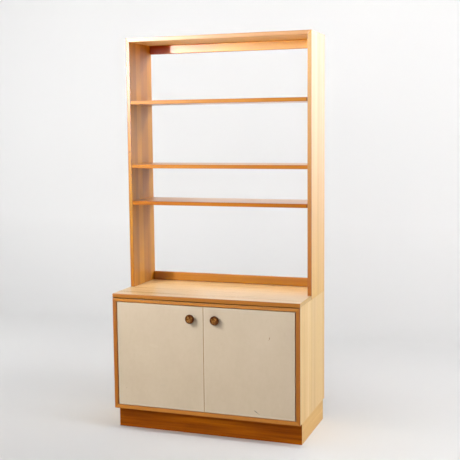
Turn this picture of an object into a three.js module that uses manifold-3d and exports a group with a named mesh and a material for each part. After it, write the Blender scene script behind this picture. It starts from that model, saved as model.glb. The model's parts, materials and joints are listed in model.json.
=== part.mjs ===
// A bookcase in two parts: a low cabinet with a pair of doors on a recessed plinth, and an open shelf
// frame that stands on the back half of it. Millimetres, +X to the right, +Y to the back, +Z up.
// The origin lies on the floor, in the middle of the whole object seen from above.
import * as THREE from "three";
import { mergeVertices } from "three/addons/utils/BufferGeometryUtils.js";
import Module from "manifold-3d";

// Overall sizes
const width = 900;
const cabinetDepth = 445;
const upperDepth = 247;
const plinthHeight = 100;
const carcassHeight = 527;
const upperHeight = 1182; // top of the frame above the worktop
const panelThickness = 18.5; // carcass, frame sides and frame top
const boardThickness = 18; // the worktop

// Plinth
const plinthThickness = 18;
const plinthFrontSetback = 44;
const plinthSideSetback = 3.25;
const plinthRearSetback = 12;
const blockLeg = 36; // glue blocks behind the plinth's front corners
const blockFloorGap = 12;

// Carcass
const shadowGroove = 4; // square groove under the worktop's front edge
const backThickness = 6;
const backLap = 10; // how far the back panel reaches into each panel
const backClearance = 0.5;
const innerShelfSetback = 60;
const innerShelfRise = 232; // underside above the cabinet floor

// Upper frame
const notchClearance = 0.5; // worktop beside the frame sides
const railHeight = 41;
const railThickness = 18;
const shelfThickness = 18;
const shelfSetback = 1;
const lowerShelfTop = 415.5; // shelf tops above the worktop
const middleShelfTop = 589.5;
const upperShelfTop = 890.5;
const shelfEndGap = 1.25;
const looseShift = 0.75; // how far the lower and upper shelves have slid to the left

// Shelf pins, hidden in grooves in the ends of the shelves
const pinRadius = 2.5;
const pinEmbed = 10;
const pinReach = 8;
const pinInset = 40; // from a shelf's front or back edge
const pinSlack = 0.25; // play round a pin in its hole
const endGrooveHeight = 5.5;
const endGrooveDepth = 9.5;
const endGrooveStop = 25; // solid wood left in front of the groove

// Dowels between the frame sides and the worktop's ends
const dowelRadius = 4;
const dowelEmbed = 12; // in the frame side
const dowelReach = 20; // past the frame side's inner face
const dowelInset = 45;
const dowelPlay = 0.25;

// Doors
const doorThickness = 18;
const doorRecess = 1;
const doorSideGap = 4;
const doorTopGap = 3;
const doorBottomGap = 2;
const doorMiddleGap = 2;

// Pivot hinges at the top and bottom corners of each door
const pivotFromSide = 13;
const pivotBehindFace = 8;
const leafLength = 44;
const leafWidth = 10;
const leafThickness = 2;
const leafFit = 0.25;
const pivotRadius = 2;
const pivotPlay = 0.3;
const pivotTip = 4; // pivot beyond the door's leaf
const pivotTipGap = 1;
const collarRadius = 4.5;
const thrustGap = 0.25; // between the collar and the door's leaf
const leafScrewRadius = 1.5;
const leafScrewLength = 12;
const leafScrewFit = 0.25;
const leafScrewSpacing = 14;
const leafScrewEndInset = 7;

// Knobs
const knobRadius = 21;
const knobProjection = 22;
const knobBaseRadius = 12;
const knobNeckRadius = 9.5;
const knobNeckHeight = 6;
const knobRimHeight = 15;
const knobEdgeRound = 4;
const knobDish = 2;
const knobFromTop = 56;
const knobFromInnerEdge = 58.5;
const knobScrewRadius = 2;
const knobScrewBite = 12;
const knobScrewPlay = 0.3;
const screwHeadRadius = 4.5;
const screwHeadThickness = 2.5;

// Magnetic catches
const catchWidth = 34;
const catchDepth = 24;
const catchHeight = 13;
const catchChamfer = 3;
const catchFromMiddle = 24;
const catchGap = 0.5; // to the strike plate
const strikeWidth = 30;
const strikeHeight = 12;
const strikeThickness = 1.5;
const strikeFromTop = 1;

// How finely round forms are divided
const roundSides = 16;
const knobSides = 40;
const roundSteps = 6;
const cutOverrun = 1; // a cut runs this far past the face that it opens

// Levels and planes that follow from the sizes above; heights are from the floor
const half = width / 2;
const innerHalf = half - panelThickness;
const carcassTopLevel = plinthHeight + carcassHeight;
const cabinetFloor = plinthHeight + panelThickness;
const cabinetCeiling = carcassTopLevel - panelThickness;
const worktopLevel = carcassTopLevel + boardThickness;
const frameFront = cabinetDepth - upperDepth; // behind the cabinet's front
const backFront = cabinetDepth - backThickness;
const doorBottom = cabinetFloor + doorBottomGap;
const doorTop = cabinetCeiling - doorTopGap;
const doorOuter = innerHalf - doorSideGap;
const doorInner = doorMiddleGap / 2;
const doorBack = doorRecess + doorThickness;
const pivotX = innerHalf - pivotFromSide;
const pivotY = doorRecess + pivotBehindFace;

const wasm = await Module();
wasm.setup();

// A closed three.js geometry as a solid that can be joined and cut
function toSolid(geometry) {
  const bare = geometry.clone();
  bare.deleteAttribute("normal");
  bare.deleteAttribute("uv");
  const merged = mergeVertices(bare);
  return new wasm.Manifold(
    new wasm.Mesh({
      numProp: 3,
      vertProperties: new Float32Array(merged.attributes.position.array),
      triVerts: new Uint32Array(merged.index.array),
    })
  );
}

// A solid back as a three.js geometry
function toGeometry(solid) {
  const mesh = solid.getMesh();
  const geometry = new THREE.BufferGeometry();
  geometry.setAttribute("position", new THREE.BufferAttribute(new Float32Array(mesh.vertProperties), 3));
  geometry.setIndex(new THREE.BufferAttribute(new Uint32Array(mesh.triVerts), 1));
  geometry.computeVertexNormals();
  return geometry;
}

// A box between two values along each axis, in either order
function block(x, y, z) {
  const size = [x, y, z].map(([a, b]) => Math.abs(b - a));
  const middle = [x, y, z].map(([a, b]) => (a + b) / 2);
  return toSolid(new THREE.BoxGeometry(...size).translate(...middle));
}

// A prism: an outline in X and Z, drawn from one Y to another
function prismAlongY(points, fromY, toY) {
  const shape = new THREE.Shape(points.map(([x, z]) => new THREE.Vector2(x, z)));
  const geometry = new THREE.ExtrudeGeometry(shape, { depth: toY - fromY, bevelEnabled: false });
  return toSolid(geometry.rotateX(Math.PI / 2).translate(0, toY, 0));
}

// A prism: an outline in X and Y, drawn from one Z to another
function prismAlongZ(points, fromZ, toZ) {
  const shape = new THREE.Shape(points.map(([x, y]) => new THREE.Vector2(x, y)));
  const geometry = new THREE.ExtrudeGeometry(shape, { depth: toZ - fromZ, bevelEnabled: false });
  return toSolid(geometry.translate(0, 0, fromZ));
}

// Round bars along each axis, from one end to the other
function barAlongZ(radius, x, y, [a, b]) {
  const geometry = new THREE.CylinderGeometry(radius, radius, Math.abs(b - a), roundSides);
  return toSolid(geometry.rotateX(Math.PI / 2).translate(x, y, (a + b) / 2));
}

function barAlongX(radius, [a, b], y, z) {
  const geometry = new THREE.CylinderGeometry(radius, radius, Math.abs(b - a), roundSides);
  return toSolid(geometry.rotateZ(Math.PI / 2).translate((a + b) / 2, y, z));
}

function barAlongY(radius, x, [a, b], z) {
  const geometry = new THREE.CylinderGeometry(radius, radius, Math.abs(b - a), roundSides);
  return toSolid(geometry.translate(x, (a + b) / 2, z));
}

function cut(solid, tools) {
  return tools.reduce((left, tool) => left.subtract(tool), solid);
}

function join(solids) {
  return solids.reduce((whole, solid) => whole.add(solid));
}

const finishes = {
  veneer: { color: 0xd9994f, roughness: 0.42, metalness: 0 },
  worktop: { color: 0xe3a95f, roughness: 0.38, metalness: 0 },
  shelf: { color: 0xdb9b52, roughness: 0.42, metalness: 0 },
  plinth: { color: 0x9a5518, roughness: 0.5, metalness: 0 },
  paint: { color: 0xd3c1a2, roughness: 0.45, metalness: 0 },
  knob: { color: 0x7d4a22, roughness: 0.4, metalness: 0 },
  backboard: { color: 0xb98a55, roughness: 0.7, metalness: 0 },
  bare: { color: 0xcfa878, roughness: 0.7, metalness: 0 },
  brass: { color: 0xb5903f, roughness: 0.35, metalness: 1 },
  steel: { color: 0x9b9b98, roughness: 0.4, metalness: 1 },
  plastic: { color: 0x5b4a3a, roughness: 0.55, metalness: 0 },
};

function piece(name, solid, finish) {
  const mesh = new THREE.Mesh(toGeometry(solid), new THREE.MeshStandardMaterial(finishes[finish]));
  mesh.name = name;
  return mesh;
}

function placed(mesh, x, y, z) {
  mesh.position.set(x, y, z);
  return mesh;
}

// A number for each side of the object: left is minus, right is plus
const sides = [
  ["left", -1],
  ["right", 1],
];

// The space that the back panel fills, which is cut out of the carcass panels around it
function backRebate() {
  const reach = innerHalf + backLap;
  return block(
    [-reach, reach],
    [backFront, cabinetDepth + cutOverrun],
    [cabinetFloor - backLap, cabinetCeiling + backLap]
  );
}

// The groove across the carcass's upper front edge
function grooveCut() {
  return block(
    [-half - cutOverrun, half + cutOverrun],
    [-cutOverrun, shadowGroove],
    [carcassTopLevel - shadowGroove, carcassTopLevel + cutOverrun]
  );
}

// Places that a pair of things share between a front and a back edge
function frontAndBack(front, back, inset) {
  return [
    ["front", front + inset],
    ["back", back - inset],
  ];
}

const dowelPlaces = frontAndBack(frameFront, cabinetDepth, dowelInset);

// Holes for the dowels, at a given height
function dowelHoles(level) {
  const outer = innerHalf + dowelEmbed + dowelPlay;
  const inner = innerHalf - dowelReach - dowelPlay;
  return sides.flatMap(([, side]) =>
    dowelPlaces.map(([, y]) => barAlongX(dowelRadius + dowelPlay, [side * outer, side * inner], y, level))
  );
}

// Hinge leaf: a flat bar along X with its pivot at the origin and its face at Z = 0. Its body lies on the
// side that into points to, +1 up or -1 down, and its screws run that way into the wood. The bar starts
// at the edge that outer names and goes towards the cabinet's middle.
function leafSpan(outer, toMiddle) {
  return [outer, outer + toMiddle * leafLength];
}

function leafScrewPlaces(outer, toMiddle) {
  const end = outer + toMiddle * (leafLength - leafScrewEndInset);
  return [end, end - toMiddle * leafScrewSpacing];
}

function leafBar(outer, toMiddle, into) {
  const bar = block(leafSpan(outer, toMiddle), [-leafWidth / 2, leafWidth / 2], [0, into * leafThickness]);
  const screws = leafScrewPlaces(outer, toMiddle).map((x) =>
    barAlongZ(leafScrewRadius, x, 0, [into * (leafThickness / 2), into * leafScrewLength])
  );
  return join([bar, ...screws]);
}

// The recess in the wood that a leaf lies in, with the holes for its screws
function leafRecess(outer, toMiddle, into) {
  const [a, b] = leafSpan(outer, toMiddle);
  const recess = block(
    [a - toMiddle * leafFit, b + toMiddle * leafFit],
    [-leafWidth / 2 - leafFit, leafWidth / 2 + leafFit],
    [-into * cutOverrun, into * leafThickness]
  );
  const holes = leafScrewPlaces(outer, toMiddle).map((x) =>
    barAlongZ(leafScrewRadius + leafScrewFit, x, 0, [0, into * (leafScrewLength + leafScrewFit)])
  );
  return join([recess, ...holes]);
}

// Leaves in the carcass start at the inner face of its side, and leaves in the door at the door's edge
const carcassLeafOuter = pivotFromSide - leafFit;
const doorLeafOuter = pivotFromSide - doorSideGap - leafFit;

function carcassLeafCut(side, into, level) {
  return leafRecess(side * carcassLeafOuter, -side, into).translate([side * pivotX, pivotY, level]);
}

// The carcass leaf carries the pivot. Only the lower one has a collar, which takes the door's weight
function carcassLeaf(side, into, gap, withCollar) {
  const away = -into;
  const pivotEnd = away * (gap + leafThickness + pivotTip);
  const parts = [
    leafBar(side * carcassLeafOuter, -side, into),
    barAlongZ(pivotRadius, 0, 0, [into * (leafThickness / 2), pivotEnd]),
  ];
  if (withCollar) {
    parts.push(barAlongZ(collarRadius, 0, 0, [into * (leafThickness / 2), away * (gap - thrustGap)]));
  }
  return join(parts);
}

function doorLeaf(side, into) {
  const hole = [-into * cutOverrun, into * (leafThickness + cutOverrun)];
  return leafBar(side * doorLeafOuter, -side, into).subtract(barAlongZ(pivotRadius + pivotPlay, 0, 0, hole));
}

// Plinth: a mitred front, two sides and a back between them, with glue blocks behind the front corners
function plinth() {
  const group = new THREE.Group();
  const outer = half - plinthSideSetback;
  const inner = outer - plinthThickness;
  const front = plinthFrontSetback;
  const behindFront = front + plinthThickness;
  const back = cabinetDepth - plinthRearSetback;
  const heights = [0, plinthHeight];
  const frontOutline = [
    [-outer, front],
    [outer, front],
    [inner, behindFront],
    [-inner, behindFront],
  ];
  group.add(piece("plinth_front", prismAlongZ(frontOutline, ...heights), "plinth"));
  group.add(piece("plinth_back", block([-inner, inner], [back - plinthThickness, back], heights), "plinth"));
  for (const [word, side] of sides) {
    const sideOutline = [
      [side * outer, front],
      [side * outer, back],
      [side * inner, back],
      [side * inner, behindFront],
    ];
    group.add(piece(`plinth_${word}`, prismAlongZ(sideOutline, ...heights), "plinth"));
    const corner = [
      [side * inner, behindFront],
      [side * (inner - blockLeg), behindFront],
      [side * inner, behindFront + blockLeg],
    ];
    group.add(piece(`plinth_block_${word}`, prismAlongZ(corner, blockFloorGap, plinthHeight), "bare"));
  }
  return group;
}

// Carcass: four mitred panels, the back panel in their rebate, and the worktop on them
function carcass() {
  const group = new THREE.Group();
  const shared = [backRebate(), grooveCut()];
  for (const [word, side] of sides) {
    const outline = [
      [side * half, plinthHeight],
      [side * half, carcassTopLevel],
      [side * innerHalf, cabinetCeiling],
      [side * innerHalf, cabinetFloor],
    ];
    const panel = prismAlongY(outline, 0, cabinetDepth);
    group.add(piece(`carcass_side_${word}`, cut(panel, [...shared, ...innerPinHoles()]), "veneer"));
  }
  const topOutline = [
    [-half, carcassTopLevel],
    [half, carcassTopLevel],
    [innerHalf, cabinetCeiling],
    [-innerHalf, cabinetCeiling],
  ];
  const bottomOutline = [
    [-half, plinthHeight],
    [half, plinthHeight],
    [innerHalf, cabinetFloor],
    [-innerHalf, cabinetFloor],
  ];
  const topLeafCuts = sides.map(([, side]) => carcassLeafCut(side, 1, cabinetCeiling));
  const bottomLeafCuts = sides.map(([, side]) => carcassLeafCut(side, -1, cabinetFloor));
  const top = cut(prismAlongY(topOutline, 0, cabinetDepth), [...shared, ...topLeafCuts]);
  const bottom = cut(prismAlongY(bottomOutline, 0, cabinetDepth), [backRebate(), ...bottomLeafCuts]);
  group.add(piece("carcass_top", top, "veneer"));
  group.add(piece("carcass_bottom", bottom, "veneer"));
  const backHalf = innerHalf + backLap - backClearance;
  const backPanel = block(
    [-backHalf, backHalf],
    [backFront, cabinetDepth],
    [cabinetFloor - backLap + backClearance, cabinetCeiling + backLap - backClearance]
  );
  group.add(piece("carcass_back", backPanel, "backboard"));
  return group;
}

// Worktop: full width in front, narrower between the frame's sides at the back
function worktop() {
  const neck = innerHalf - notchClearance;
  const outline = [
    [-half, 0],
    [half, 0],
    [half, frameFront],
    [neck, frameFront],
    [neck, cabinetDepth],
    [-neck, cabinetDepth],
    [-neck, frameFront],
    [-half, frameFront],
  ];
  const board = prismAlongZ(outline, carcassTopLevel, worktopLevel);
  return piece("worktop", cut(board, dowelHoles(worktopLevel - boardThickness / 2)), "worktop");
}

// Height of a pin's axis above the underside of the shelf that it carries
const grooveCeiling = (shelfThickness + endGrooveHeight) / 2;
const pinRise = grooveCeiling - pinRadius;

// A shelf with stopped grooves in its ends, its left underside front corner at the origin
function shelf(name, length, depth) {
  const grooveHeights = [grooveCeiling - endGrooveHeight, grooveCeiling];
  const grooveDepths = [endGrooveStop, depth + cutOverrun];
  const board = block([0, length], [0, depth], [0, shelfThickness]);
  const grooves = [
    block([-cutOverrun, endGrooveDepth], grooveDepths, grooveHeights),
    block([length - endGrooveDepth, length + cutOverrun], grooveDepths, grooveHeights),
  ];
  return piece(name, cut(board, grooves), "shelf");
}

// The pins of one shelf: their X span and side for each end
function pinSpan(side) {
  return [side * (innerHalf + pinEmbed), side * (innerHalf - pinReach)];
}

function pinHoles(front, back, underside) {
  return sides.flatMap(([, side]) =>
    frontAndBack(front, back, pinInset).map(([, y]) =>
      barAlongX(
        pinRadius + pinSlack,
        [side * (innerHalf + pinEmbed + pinSlack), side * (innerHalf - cutOverrun)],
        y,
        underside + pinRise
      )
    )
  );
}

function pins(name, front, back, underside) {
  const group = new THREE.Group();
  for (const [word, side] of sides) {
    for (const [place, y] of frontAndBack(front, back, pinInset)) {
      const pin = barAlongX(pinRadius, pinSpan(side), 0, 0);
      group.add(placed(piece(`${name}_pin_${place}_${word}`, pin, "steel"), 0, y, underside + pinRise));
    }
  }
  return group;
}

const shelfLength = 2 * (innerHalf - shelfEndGap);
const innerShelfUnderside = cabinetFloor + innerShelfRise;
const innerShelfBack = backFront - shelfEndGap;

function innerPinHoles() {
  return pinHoles(innerShelfSetback, innerShelfBack, innerShelfUnderside);
}

function innerShelf() {
  const group = new THREE.Group();
  const board = shelf("inner_shelf", shelfLength, innerShelfBack - innerShelfSetback);
  group.add(placed(board, -shelfLength / 2, innerShelfSetback, innerShelfUnderside));
  group.add(pins("inner_shelf", innerShelfSetback, innerShelfBack, innerShelfUnderside));
  return group;
}

// The three open shelves: name, top above the worktop, and how far each has slid to the left
const openShelves = [
  ["shelf_lower", lowerShelfTop, looseShift],
  ["shelf_middle", middleShelfTop, 0],
  ["shelf_upper", upperShelfTop, looseShift],
];
const shelfFront = frameFront + shelfSetback;

// Upper frame, with heights measured from the worktop
function upperFrame() {
  const group = new THREE.Group();
  const underTop = upperHeight - panelThickness;
  const dowelLevel = -boardThickness / 2;
  const holes = openShelves.flatMap(([, top]) => pinHoles(shelfFront, cabinetDepth, top - shelfThickness));
  for (const [word, side] of sides) {
    const outline = [
      [side * half, -boardThickness],
      [side * half, upperHeight],
      [side * innerHalf, underTop],
      [side * innerHalf, -boardThickness],
    ];
    const panel = cut(prismAlongY(outline, frameFront, cabinetDepth), [...holes, ...dowelHoles(dowelLevel)]);
    group.add(piece(`frame_side_${word}`, panel, "veneer"));
    for (const [place, y] of dowelPlaces) {
      const span = [side * (innerHalf + dowelEmbed), side * (innerHalf - dowelReach)];
      const dowel = barAlongX(dowelRadius, span, 0, 0);
      group.add(placed(piece(`dowel_${place}_${word}`, dowel, "bare"), 0, y, dowelLevel));
    }
  }
  const topOutline = [
    [-half, upperHeight],
    [half, upperHeight],
    [innerHalf, underTop],
    [-innerHalf, underTop],
  ];
  group.add(piece("frame_top", prismAlongY(topOutline, frameFront, cabinetDepth), "veneer"));
  const rail = [
    [-innerHalf, innerHalf],
    [cabinetDepth - railThickness, cabinetDepth],
  ];
  group.add(piece("back_rail_top", block(...rail, [underTop - railHeight, underTop]), "veneer"));
  group.add(piece("back_rail_bottom", block(...rail, [0, railHeight]), "veneer"));
  for (const [name, top, shift] of openShelves) {
    const board = shelf(name, shelfLength, cabinetDepth - shelfFront);
    group.add(placed(board, -shelfLength / 2 - shift, shelfFront, top - shelfThickness));
    group.add(pins(name, shelfFront, cabinetDepth, top - shelfThickness));
  }
  return group;
}

// Knob outline from its foot to the middle of its dished face, as radius and height
function knobProfile() {
  const rimTop = knobProjection - knobEdgeRound;
  const points = [
    new THREE.Vector2(0, 0),
    new THREE.Vector2(knobBaseRadius, 0),
  ];
  const flare = new THREE.CubicBezierCurve(
    new THREE.Vector2(knobBaseRadius, 0),
    new THREE.Vector2(knobNeckRadius, knobNeckHeight / 2),
    new THREE.Vector2(knobNeckRadius, knobNeckHeight),
    new THREE.Vector2(knobNeckRadius, knobNeckHeight)
  );
  const head = new THREE.QuadraticBezierCurve(
    new THREE.Vector2(knobNeckRadius, knobNeckHeight),
    new THREE.Vector2(knobNeckRadius, knobRimHeight),
    new THREE.Vector2(knobRadius, knobRimHeight)
  );
  points.push(...flare.getPoints(roundSteps).slice(1), ...head.getPoints(roundSteps).slice(1));
  for (let step = 0; step <= roundSteps; step += 1) {
    const angle = (step / roundSteps) * (Math.PI / 2);
    const radius = knobRadius - knobEdgeRound * (1 - Math.cos(angle));
    points.push(new THREE.Vector2(radius, rimTop + knobEdgeRound * Math.sin(angle)));
  }
  const faceRadius = knobRadius - knobEdgeRound;
  for (let step = 1; step <= roundSteps; step += 1) {
    const share = 1 - step / roundSteps;
    const sunk = knobDish * (1 - share * share);
    points.push(new THREE.Vector2(faceRadius * share, knobProjection - sunk));
  }
  return points;
}

// A door with its knob, screw, hinge leaves and strike plate. The group's origin is on the pivots' axis
function door(word, side) {
  const group = new THREE.Group();
  group.position.set(side * pivotX, pivotY, 0);
  const face = -pivotBehindFace;
  const back = face + doorThickness;
  const outer = side * (doorOuter - pivotX);
  const inner = side * (doorInner - pivotX);
  const knobX = inner + side * knobFromInnerEdge;
  const knobZ = doorTop - knobFromTop;
  const tipHole = leafThickness + pivotTip + pivotTipGap;
  const cuts = [
    leafRecess(side * doorLeafOuter, -side, 1).translate([0, 0, doorBottom]),
    leafRecess(side * doorLeafOuter, -side, -1).translate([0, 0, doorTop]),
    barAlongZ(pivotRadius + pivotPlay, 0, 0, [doorBottom - cutOverrun, doorBottom + tipHole]),
    barAlongZ(pivotRadius + pivotPlay, 0, 0, [doorTop - tipHole, doorTop + cutOverrun]),
    barAlongY(knobScrewRadius + knobScrewPlay, knobX, [face - cutOverrun, back + cutOverrun], knobZ),
  ];
  const panel = block([outer, inner], [face, back], [doorBottom, doorTop]);
  group.add(piece(`door_${word}`, cut(panel, cuts), "paint"));
  group.add(placed(piece(`door_leaf_bottom_${word}`, doorLeaf(side, 1), "brass"), 0, 0, doorBottom));
  group.add(placed(piece(`door_leaf_top_${word}`, doorLeaf(side, -1), "brass"), 0, 0, doorTop));

  const turned = toSolid(new THREE.LatheGeometry(knobProfile(), knobSides));
  const bore = barAlongY(knobScrewRadius + knobScrewPlay, 0, [-cutOverrun, knobScrewBite + knobScrewPlay], 0);
  const knob = piece(`knob_${word}`, cut(turned, [bore]), "knob");
  knob.rotation.x = Math.PI;
  group.add(placed(knob, knobX, face, knobZ));

  const screw = join([
    barAlongY(knobScrewRadius, 0, [-doorThickness - knobScrewBite, screwHeadThickness / 2], 0),
    barAlongY(screwHeadRadius, 0, [0, screwHeadThickness], 0),
  ]);
  group.add(placed(piece(`knob_screw_${word}`, screw, "steel"), knobX, back, knobZ));

  const catchX = side * (catchFromMiddle - pivotX);
  const strike = block([-strikeWidth / 2, strikeWidth / 2], [0, strikeThickness], [-strikeHeight, 0]);
  group.add(placed(piece(`strike_${word}`, strike, "steel"), catchX, back, doorTop - strikeFromTop));
  return group;
}

// The fixed halves of the hinges, and the catches under the carcass's top
function fittings() {
  const group = new THREE.Group();
  for (const [word, side] of sides) {
    const lower = piece(`carcass_leaf_bottom_${word}`, carcassLeaf(side, -1, doorBottomGap, true), "brass");
    const upper = piece(`carcass_leaf_top_${word}`, carcassLeaf(side, 1, doorTopGap, false), "brass");
    group.add(placed(lower, side * pivotX, pivotY, cabinetFloor));
    group.add(placed(upper, side * pivotX, pivotY, cabinetCeiling));
    const outline = [
      [-catchWidth / 2, 0],
      [-catchWidth / 2, -catchHeight + catchChamfer],
      [-catchWidth / 2 + catchChamfer, -catchHeight],
      [catchWidth / 2 - catchChamfer, -catchHeight],
      [catchWidth / 2, -catchHeight + catchChamfer],
      [catchWidth / 2, 0],
    ];
    const magnet = piece(`catch_${word}`, prismAlongY(outline, 0, catchDepth), "plastic");
    const catchY = doorBack + strikeThickness + catchGap;
    group.add(placed(magnet, side * catchFromMiddle, catchY, cabinetCeiling));
  }
  return group;
}

// The whole bookcase; the groups inside it measure Y from the cabinet's front
const bookcase = new THREE.Group();
const frontmost = doorRecess - knobProjection;
bookcase.position.y = -(cabinetDepth + frontmost) / 2;
const upper = upperFrame();
upper.position.z = worktopLevel;
bookcase.add(plinth(), carcass(), worktop(), innerShelf(), fittings(), upper);
for (const [word, side] of sides) {
  bookcase.add(door(word, side));
}

const root = new THREE.Group();
root.add(bookcase);
export default root;
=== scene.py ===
import json
import math

import bmesh
import bpy
from mathutils import Matrix, Vector


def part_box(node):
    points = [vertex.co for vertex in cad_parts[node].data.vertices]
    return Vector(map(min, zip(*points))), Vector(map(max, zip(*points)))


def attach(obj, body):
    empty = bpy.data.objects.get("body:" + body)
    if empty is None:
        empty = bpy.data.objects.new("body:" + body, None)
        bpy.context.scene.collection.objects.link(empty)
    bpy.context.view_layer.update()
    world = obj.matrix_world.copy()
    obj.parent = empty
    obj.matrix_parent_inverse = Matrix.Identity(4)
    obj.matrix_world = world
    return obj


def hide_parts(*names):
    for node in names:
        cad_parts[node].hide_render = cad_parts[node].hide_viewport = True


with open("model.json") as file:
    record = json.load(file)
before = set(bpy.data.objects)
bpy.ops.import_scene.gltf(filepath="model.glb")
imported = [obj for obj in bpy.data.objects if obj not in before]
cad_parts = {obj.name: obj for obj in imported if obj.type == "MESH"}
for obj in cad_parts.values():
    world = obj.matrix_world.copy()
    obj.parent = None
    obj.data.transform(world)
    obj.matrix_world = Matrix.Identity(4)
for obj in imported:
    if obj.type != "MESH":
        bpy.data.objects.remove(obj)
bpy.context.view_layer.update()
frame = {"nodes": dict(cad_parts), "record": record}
MM = 0.001
IMAGE_PX = 460

# Camera, solved from the straight edges of the photograph: place in metres, angles in degrees
CAMERA_PLACE = (1.4608, -3.9528, 1.398)
CAMERA_YAW = 19.5426
CAMERA_PITCH = -6.3366
CAMERA_ROLL = -0.5657
FOCAL_PX = 909.26
SENSOR_MM = 36.0


def add_camera():
    yaw, pitch, roll = (math.radians(a) for a in (CAMERA_YAW, CAMERA_PITCH, CAMERA_ROLL))
    forward = Vector((-math.sin(yaw) * math.cos(pitch), math.cos(yaw) * math.cos(pitch), math.sin(pitch)))
    level = Vector((math.cos(yaw), math.sin(yaw), 0))
    upright = level.cross(forward)
    right = level * math.cos(roll) + upright * math.sin(roll)
    up = upright * math.cos(roll) - level * math.sin(roll)
    data = bpy.data.cameras.new("camera")
    data.sensor_width = SENSOR_MM
    data.lens = FOCAL_PX / IMAGE_PX * SENSOR_MM
    camera = bpy.data.objects.new("camera", data)
    turn = Matrix((right, up, -forward)).transposed().to_4x4()
    camera.matrix_world = Matrix.Translation(CAMERA_PLACE) @ turn
    bpy.context.scene.collection.objects.link(camera)
    bpy.context.scene.camera = camera


add_camera()


class Nodes:
    """A material's node tree, with short calls for the few kinds of node used here."""

    def __init__(self, name):
        self.material = bpy.data.materials.new(name)
        self.material.use_nodes = True
        self.tree = self.material.node_tree
        self.shader = self.tree.nodes["Principled BSDF"]

    def add(self, kind, inputs=None, **settings):
        node = self.tree.nodes.new(kind)
        for key, value in settings.items():
            setattr(node, key, value)
        for key, value in (inputs or {}).items():
            self.feed(node, key, value)
        return node

    def feed(self, node, key, value):
        socket = node.inputs[key]
        if isinstance(value, bpy.types.NodeSocket):
            self.tree.links.new(value, socket)
        else:
            socket.default_value = value

    def math(self, operation, a, b=0.0, clamp=False):
        node = self.add("ShaderNodeMath", {0: a, 1: b}, operation=operation, use_clamp=clamp)
        return node.outputs[0]

    def times_plus(self, value, scale, offset):
        node = self.add("ShaderNodeMath", {0: value, 1: scale, 2: offset}, operation="MULTIPLY_ADD")
        return node.outputs[0]

    def remap(self, value, low, high, to_low, to_high):
        inputs = {"Value": value, "From Min": low, "From Max": high, "To Min": to_low, "To Max": to_high}
        return self.add("ShaderNodeMapRange", inputs, clamp=True).outputs["Result"]

    def spread(self, noise, low, high):
        """The middle range of a noise, spread from low to high."""
        return self.remap(noise, 0.3, 0.7, low, high)

    def mix(self, share, a, b, blend="MIX"):
        node = self.add("ShaderNodeMix", data_type="RGBA", blend_type=blend)
        for index, value in ((0, share), (6, a), (7, b)):
            self.feed(node, index, value)
        return node.outputs[2]

    def place(self):
        return self.add("ShaderNodeTexCoord").outputs["Object"]

    def split(self, vector):
        return self.add("ShaderNodeSeparateXYZ", {0: vector}).outputs

    def combine(self, x, y, z):
        return self.add("ShaderNodeCombineXYZ", {0: x, 1: y, 2: z}).outputs[0]

    def stretched(self, vector, scale, offset=(0, 0, 0)):
        inputs = {"Vector": vector, "Scale": scale, "Location": offset}
        return self.add("ShaderNodeMapping", inputs).outputs[0]

    def noise(self, vector, scale=1.0, detail=2.0, roughness=0.5, distortion=0.0):
        inputs = {
            "Vector": vector,
            "Scale": scale,
            "Detail": detail,
            "Roughness": roughness,
            "Distortion": distortion,
        }
        return self.add("ShaderNodeTexNoise", inputs).outputs["Fac"]

    def ramp(self, value, stops, interpolation="LINEAR"):
        node = self.add("ShaderNodeValToRGB", {0: value})
        node.color_ramp.interpolation = interpolation
        elements = node.color_ramp.elements
        while len(elements) < len(stops):
            elements.new(1.0)
        for element, (position, colour) in zip(elements, stops):
            element.position = position
            element.color = (*colour, 1)
        return node.outputs[0]

    def clear_from_behind(self):
        behind = self.add("ShaderNodeNewGeometry").outputs["Backfacing"]
        clear = self.add("ShaderNodeBsdfTransparent").outputs[0]
        inputs = {0: behind, 1: self.shader.outputs[0], 2: clear}
        either = self.add("ShaderNodeMixShader", inputs).outputs[0]
        self.feed(self.tree.nodes["Material Output"], "Surface", either)

    def bump(self, height, depth, strength):
        inputs = {"Height": height, "Distance": depth, "Strength": strength}
        normal = self.add("ShaderNodeBump", inputs).outputs[0]
        self.feed(self.shader, "Normal", normal)


# Studio: a pale floor that curves up into a wall, and soft lights. Places in metres
WALL_Y = 2.6
SWEEP_RADIUS = 0.7
STAGE_HALF_WIDTH = 14.0
STAGE_FRONT_Y = -14.0
STAGE_HEIGHT = 5.0
SWEEP_STEPS = 16
FLOOR_TONE = (0.70, 0.70, 0.70)
WALL_TONE = (0.84, 0.84, 0.84)
SURROUND_TONE = (0.58, 0.58, 0.58, 1)
PAPER_TOOTH = 900
PAPER_SPECULAR = 0.1

# Where the lights hardly reach, the backdrop glows faintly, by its distance from the furniture
GLOW_START = 5.0
GLOW_END = 12.0
GLOW_STRENGTH = 0.6


def stage_profile():
    """Floor, sweep and wall from the side, as (y, z) points."""
    profile = [(STAGE_FRONT_Y, 0.0)]
    for i in range(SWEEP_STEPS + 1):
        angle = math.pi / 2 * i / SWEEP_STEPS
        reach = SWEEP_RADIUS * math.sin(angle)
        profile.append((WALL_Y - SWEEP_RADIUS + reach, SWEEP_RADIUS * (1 - math.cos(angle))))
    profile.append((WALL_Y, STAGE_HEIGHT))
    return profile


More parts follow.
